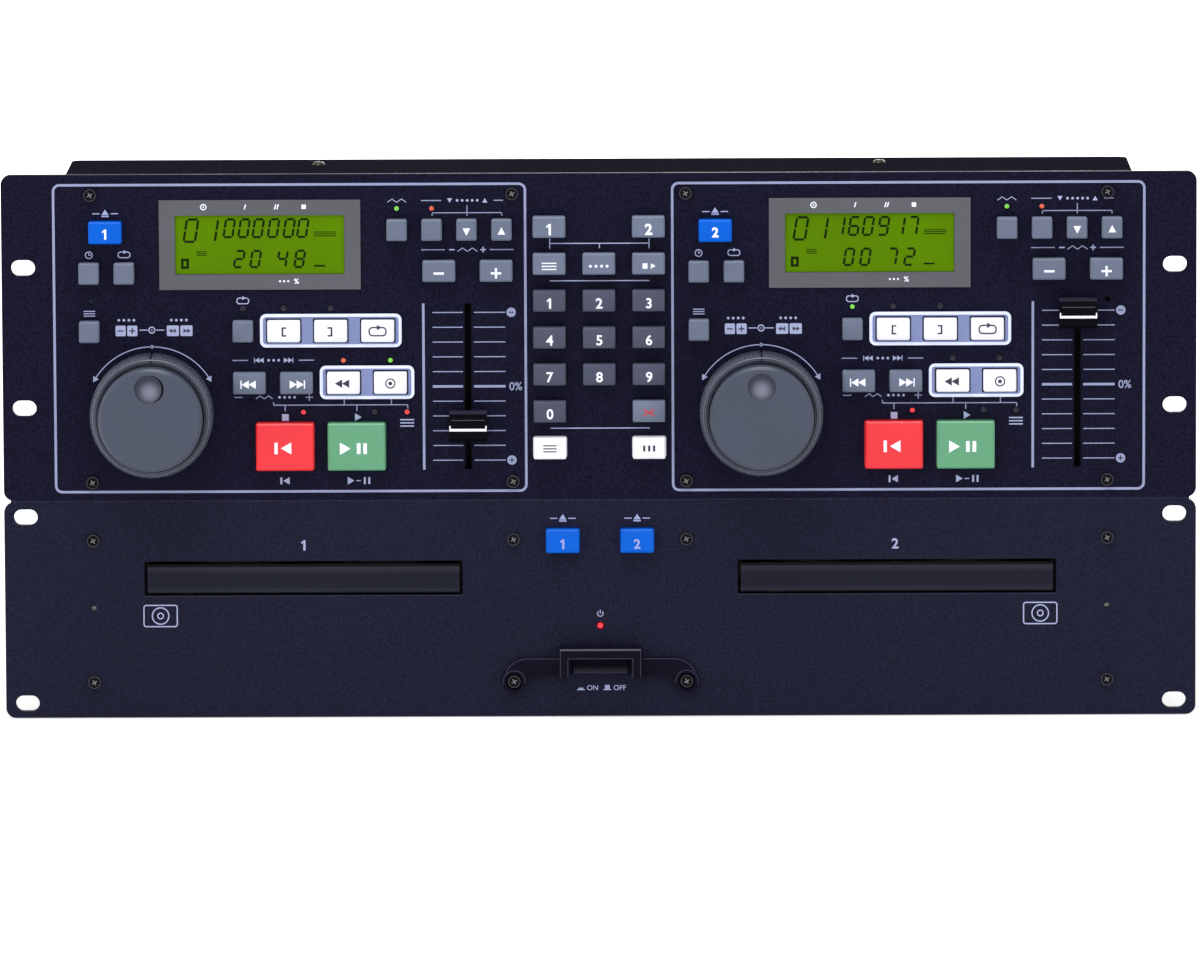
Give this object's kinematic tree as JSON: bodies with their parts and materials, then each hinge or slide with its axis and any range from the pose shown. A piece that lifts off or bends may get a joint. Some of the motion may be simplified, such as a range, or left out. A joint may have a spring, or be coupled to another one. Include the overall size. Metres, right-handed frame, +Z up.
{
  "type": "dual rack disc player with remote controller",
  "caption": "Rack-mount twin disc drive with two trays and a guarded power button, with its remote controller of keys, displays, jog wheels and pitch faders stacked on it.",
  "frame": {"origin": "on the table under the middle of the part's box", "axes": "+Z up, front facing -Y, +X to the right seen from the front"},
  "size_m": [0.4826, 0.296, 0.2227],
  "materials": {
    "panel_drive": "fine dark blue-grey paint",
    "panel_control": "fine navy-black paint",
    "case_steel": "satin dark paint",
    "chassis_steel": "plated steel",
    "rubber": "matt",
    "board": "green lacquer",
    "transformer": "varnished",
    "black_plastic": "fine texture",
    "socket_metal": "plated",
    "screws": "dark nickel",
    "frame_plastic": "fine texture",
    "bezel": "satin grey",
    "display": "green lit display",
    "surround": "satin lavender",
    "lamps": "tinted lamp",
    "encoder": "fine texture",
    "fader_steel": "plated",
    "button_grey": "satin",
    "key_light": "satin light grey",
    "key_grey": "satin grey",
    "key_dark": "satin dark grey",
    "key_white": "lit white",
    "key_blue": "lit blue",
    "key_red": "lit red",
    "key_green": "lit green",
    "tray_plastic": "fine texture",
    "tray_front": "gloss dark grey",
    "gear_plastic": "natural acetal",
    "traverse_metal": "plated",
    "pickup_black": "with a glass lens",
    "jog_ring": "satin dark slate",
    "jog_dial": "satin slate grey",
    "fader_black": "satin"
  },
  "bodies": {
    "cabinet": {"drive_front_panel": "panel_drive", "drive_chassis": "chassis_steel", "drive_top_cover": "case_steel", "rubber_feet": "rubber", "circuit_boards": "board", "power_transformer": "transformer", "mains_inlet": "black_plastic", "rear_sockets": "socket_metal", "power_guard": "black_plastic", "fixing_screws": "screws", "loader_frames": "frame_plastic", "control_front_panel": "panel_control", "control_case": "case_steel", "control_top_cover": "case_steel", "display_frames": "bezel", "display_windows": "display", "key_surrounds": "surround", "indicator_lamps": "lamps", "jog_encoders": "encoder", "fader_bodies": "fader_steel"},
    "tray_1": {"tray_1": "tray_plastic", "tray_front_1": "tray_front"},
    "tray_2": {"tray_2": "tray_plastic", "tray_front_2": "tray_front"},
    "jog_dial_1": {"jog_dial_1": "jog_dial"},
    "jog_dial_2": {"jog_dial_2": "jog_dial"},
    "jog_ring_1": {"jog_ring_1": "jog_ring"},
    "jog_ring_2": {"jog_ring_2": "jog_ring"},
    "fader_cap_1": {"fader_cap_1": "fader_black"},
    "fader_cap_2": {"fader_cap_2": "fader_black"},
    "power_button": {"power_button": "button_grey"},
    "traverse_1": {"traverse_1": "traverse_metal"},
    "traverse_2": {"traverse_2": "traverse_metal"},
    "pickup_1": {"pickup_1": "pickup_black"},
    "pickup_2": {"pickup_2": "pickup_black"},
    "turntable_1": {"turntable_1": "gear_plastic"},
    "turntable_2": {"turntable_2": "gear_plastic"},
    "cue_key_1": {"cue_key_1": "key_red"},
    "cue_key_2": {"cue_key_2": "key_red"},
    "play_key_1": {"play_key_1": "key_green"},
    "play_key_2": {"play_key_2": "key_green"},
    "tray_key_1": {"tray_key_1": "key_blue"},
    "tray_key_2": {"tray_key_2": "key_blue"},
    "open_key_1": {"open_key_1": "key_blue"},
    "open_key_2": {"open_key_2": "key_blue"},
    "number_keys": {"number_keys": "key_dark"},
    "memory_keys": {"memory_keys": "key_light"},
    "link_keys": {"link_keys": "key_white"},
    "bend_keys_1": {"bend_keys_1": "key_grey"},
    "bend_keys_2": {"bend_keys_2": "key_grey"},
    "pitch_keys_1": {"pitch_keys_1": "key_grey"},
    "pitch_keys_2": {"pitch_keys_2": "key_grey"},
    "loop_keys_1": {"loop_keys_1": "key_white"},
    "loop_keys_2": {"loop_keys_2": "key_white"},
    "track_keys_1": {"track_keys_1": "key_grey"},
    "track_keys_2": {"track_keys_2": "key_grey"},
    "time_keys_1": {"time_keys_1": "key_grey"},
    "time_keys_2": {"time_keys_2": "key_grey"},
    "tray_gear_1": {"tray_gear_1": "gear_plastic"},
    "tray_gear_2": {"tray_gear_2": "gear_plastic"}
  },
  "joints": [
    {"name": "tray_1_slide", "type": "slide", "parent": "cabinet", "child": "tray_1", "axis": [0, -1, 0], "range_m": [0, 0.14]},
    {"name": "tray_2_slide", "type": "slide", "parent": "cabinet", "child": "tray_2", "axis": [0, -1, 0], "range_m": [0, 0.14]},
    {"name": "jog_dial_1_spin", "type": "hinge", "parent": "cabinet", "child": "jog_dial_1", "pos_m": [-0.18075, -0.135, 0.12495], "axis": [0, 1, 0], "continuous": true},
    {"name": "jog_dial_2_spin", "type": "hinge", "parent": "cabinet", "child": "jog_dial_2", "pos_m": [0.06545, -0.135, 0.12495], "axis": [0, 1, 0], "continuous": true},
    {"name": "jog_ring_1_turn", "type": "hinge", "parent": "cabinet", "child": "jog_ring_1", "pos_m": [-0.18075, -0.131, 0.12495], "axis": [0, 1, 0], "range_deg": [-60, 60], "stiffness_Nm_per_rad": 0.03},
    {"name": "jog_ring_2_turn", "type": "hinge", "parent": "cabinet", "child": "jog_ring_2", "pos_m": [0.06545, -0.131, 0.12495], "axis": [0, 1, 0], "range_deg": [-60, 60], "stiffness_Nm_per_rad": 0.03},
    {"name": "fader_1_slide", "type": "slide", "parent": "cabinet", "child": "fader_cap_1", "axis": [0, 0, 1], "range_m": [-0.0147, 0.0455]},
    {"name": "fader_2_slide", "type": "slide", "parent": "cabinet", "child": "fader_cap_2", "axis": [0, 0, 1], "range_m": [-0.0597, 0.0005]},
    {"name": "power_press", "type": "slide", "parent": "cabinet", "child": "power_button", "axis": [0, 1, 0], "range_m": [0, 0.003], "stiffness_N_per_m": 400, "springref_m": -0.001},
    {"name": "traverse_1_lift", "type": "slide", "parent": "cabinet", "child": "traverse_1", "axis": [0, 0, 1], "range_m": [0, 0.0093]},
    {"name": "traverse_2_lift", "type": "slide", "parent": "cabinet", "child": "traverse_2", "axis": [0, 0, 1], "range_m": [0, 0.0093]},
    {"name": "pickup_1_slide", "type": "slide", "parent": "traverse_1", "child": "pickup_1", "axis": [0, 1, 0], "range_m": [0, 0.033]},
    {"name": "pickup_2_slide", "type": "slide", "parent": "traverse_2", "child": "pickup_2", "axis": [0, 1, 0], "range_m": [0, 0.033]},
    {"name": "turntable_1_spin", "type": "hinge", "parent": "traverse_1", "child": "turntable_1", "pos_m": [-0.1202, -0.051, 0.047], "axis": [0, 0, 1], "continuous": true},
    {"name": "turntable_2_spin", "type": "hinge", "parent": "traverse_2", "child": "turntable_2", "pos_m": [0.1202, -0.051, 0.047], "axis": [0, 0, 1], "continuous": true},
    {"name": "cue_key_1_press", "type": "slide", "parent": "cabinet", "child": "cue_key_1", "axis": [0, 1, 0], "range_m": [0, 0.0012], "stiffness_N_per_m": 200, "springref_m": -0.001},
    {"name": "cue_key_2_press", "type": "slide", "parent": "cabinet", "child": "cue_key_2", "axis": [0, 1, 0], "range_m": [0, 0.0012], "stiffness_N_per_m": 200, "springref_m": -0.001},
    {"name": "play_key_1_press", "type": "slide", "parent": "cabinet", "child": "play_key_1", "axis": [0, 1, 0], "range_m": [0, 0.0012], "stiffness_N_per_m": 200, "springref_m": -0.001},
    {"name": "play_key_2_press", "type": "slide", "parent": "cabinet", "child": "play_key_2", "axis": [0, 1, 0], "range_m": [0, 0.0012], "stiffness_N_per_m": 200, "springref_m": -0.001},
    {"name": "tray_key_1_press", "type": "slide", "parent": "cabinet", "child": "tray_key_1", "axis": [0, 1, 0], "range_m": [0, 0.0012], "stiffness_N_per_m": 200, "springref_m": -0.001},
    {"name": "tray_key_2_press", "type": "slide", "parent": "cabinet", "child": "tray_key_2", "axis": [0, 1, 0], "range_m": [0, 0.0012], "stiffness_N_per_m": 200, "springref_m": -0.001},
    {"name": "open_key_1_press", "type": "slide", "parent": "cabinet", "child": "open_key_1", "axis": [0, 1, 0], "range_m": [0, 0.0012], "stiffness_N_per_m": 200, "springref_m": -0.001},
    {"name": "open_key_2_press", "type": "slide", "parent": "cabinet", "child": "open_key_2", "axis": [0, 1, 0], "range_m": [0, 0.0012], "stiffness_N_per_m": 200, "springref_m": -0.001},
    {"name": "number_keys_press", "type": "slide", "parent": "cabinet", "child": "number_keys", "axis": [0, 1, 0], "range_m": [0, 0.0012], "stiffness_N_per_m": 200, "springref_m": -0.001},
    {"name": "memory_keys_press", "type": "slide", "parent": "cabinet", "child": "memory_keys", "axis": [0, 1, 0], "range_m": [0, 0.0012], "stiffness_N_per_m": 200, "springref_m": -0.001},
    {"name": "link_keys_press", "type": "slide", "parent": "cabinet", "child": "link_keys", "axis": [0, 1, 0], "range_m": [0, 0.0012], "stiffness_N_per_m": 200, "springref_m": -0.001},
    {"name": "bend_keys_1_press", "type": "slide", "parent": "cabinet", "child": "bend_keys_1", "axis": [0, 1, 0], "range_m": [0, 0.0012], "stiffness_N_per_m": 200, "springref_m": -0.001},
    {"name": "bend_keys_2_press", "type": "slide", "parent": "cabinet", "child": "bend_keys_2", "axis": [0, 1, 0], "range_m": [0, 0.0012], "stiffness_N_per_m": 200, "springref_m": -0.001},
    {"name": "pitch_keys_1_press", "type": "slide", "parent": "cabinet", "child": "pitch_keys_1", "axis": [0, 1, 0], "range_m": [0, 0.0012], "stiffness_N_per_m": 200, "springref_m": -0.001},
    {"name": "pitch_keys_2_press", "type": "slide", "parent": "cabinet", "child": "pitch_keys_2", "axis": [0, 1, 0], "range_m": [0, 0.0012], "stiffness_N_per_m": 200, "springref_m": -0.001},
    {"name": "loop_keys_1_press", "type": "slide", "parent": "cabinet", "child": "loop_keys_1", "axis": [0, 1, 0], "range_m": [0, 0.0012], "stiffness_N_per_m": 200, "springref_m": -0.001},
    {"name": "loop_keys_2_press", "type": "slide", "parent": "cabinet", "child": "loop_keys_2", "axis": [0, 1, 0], "range_m": [0, 0.0012], "stiffness_N_per_m": 200, "springref_m": -0.001},
    {"name": "track_keys_1_press", "type": "slide", "parent": "cabinet", "child": "track_keys_1", "axis": [0, 1, 0], "range_m": [0, 0.0012], "stiffness_N_per_m": 200, "springref_m": -0.001},
    {"name": "track_keys_2_press", "type": "slide", "parent": "cabinet", "child": "track_keys_2", "axis": [0, 1, 0], "range_m": [0, 0.0012], "stiffness_N_per_m": 200, "springref_m": -0.001},
    {"name": "time_keys_1_press", "type": "slide", "parent": "cabinet", "child": "time_keys_1", "axis": [0, 1, 0], "range_m": [0, 0.0012], "stiffness_N_per_m": 200, "springref_m": -0.001},
    {"name": "time_keys_2_press", "type": "slide", "parent": "cabinet", "child": "time_keys_2", "axis": [0, 1, 0], "range_m": [0, 0.0012], "stiffness_N_per_m": 200, "springref_m": -0.001},
    {"name": "tray_gear_1_spin", "type": "hinge", "parent": "cabinet", "child": "tray_gear_1", "pos_m": [-0.1694, -0.101, 0.05], "axis": [0, 0, 1], "range_deg": [0, 1010]},
    {"name": "tray_gear_2_spin", "type": "hinge", "parent": "cabinet", "child": "tray_gear_2", "pos_m": [0.071, -0.101, 0.05], "axis": [0, 0, 1], "range_deg": [0, 1010]}
  ],
  "couplings": [
    {"joint": "tray_gear_1_spin", "follows": "tray_1_slide", "rad_per_m": 125},
    {"joint": "tray_gear_2_spin", "follows": "tray_2_slide", "rad_per_m": 125}
  ]
}
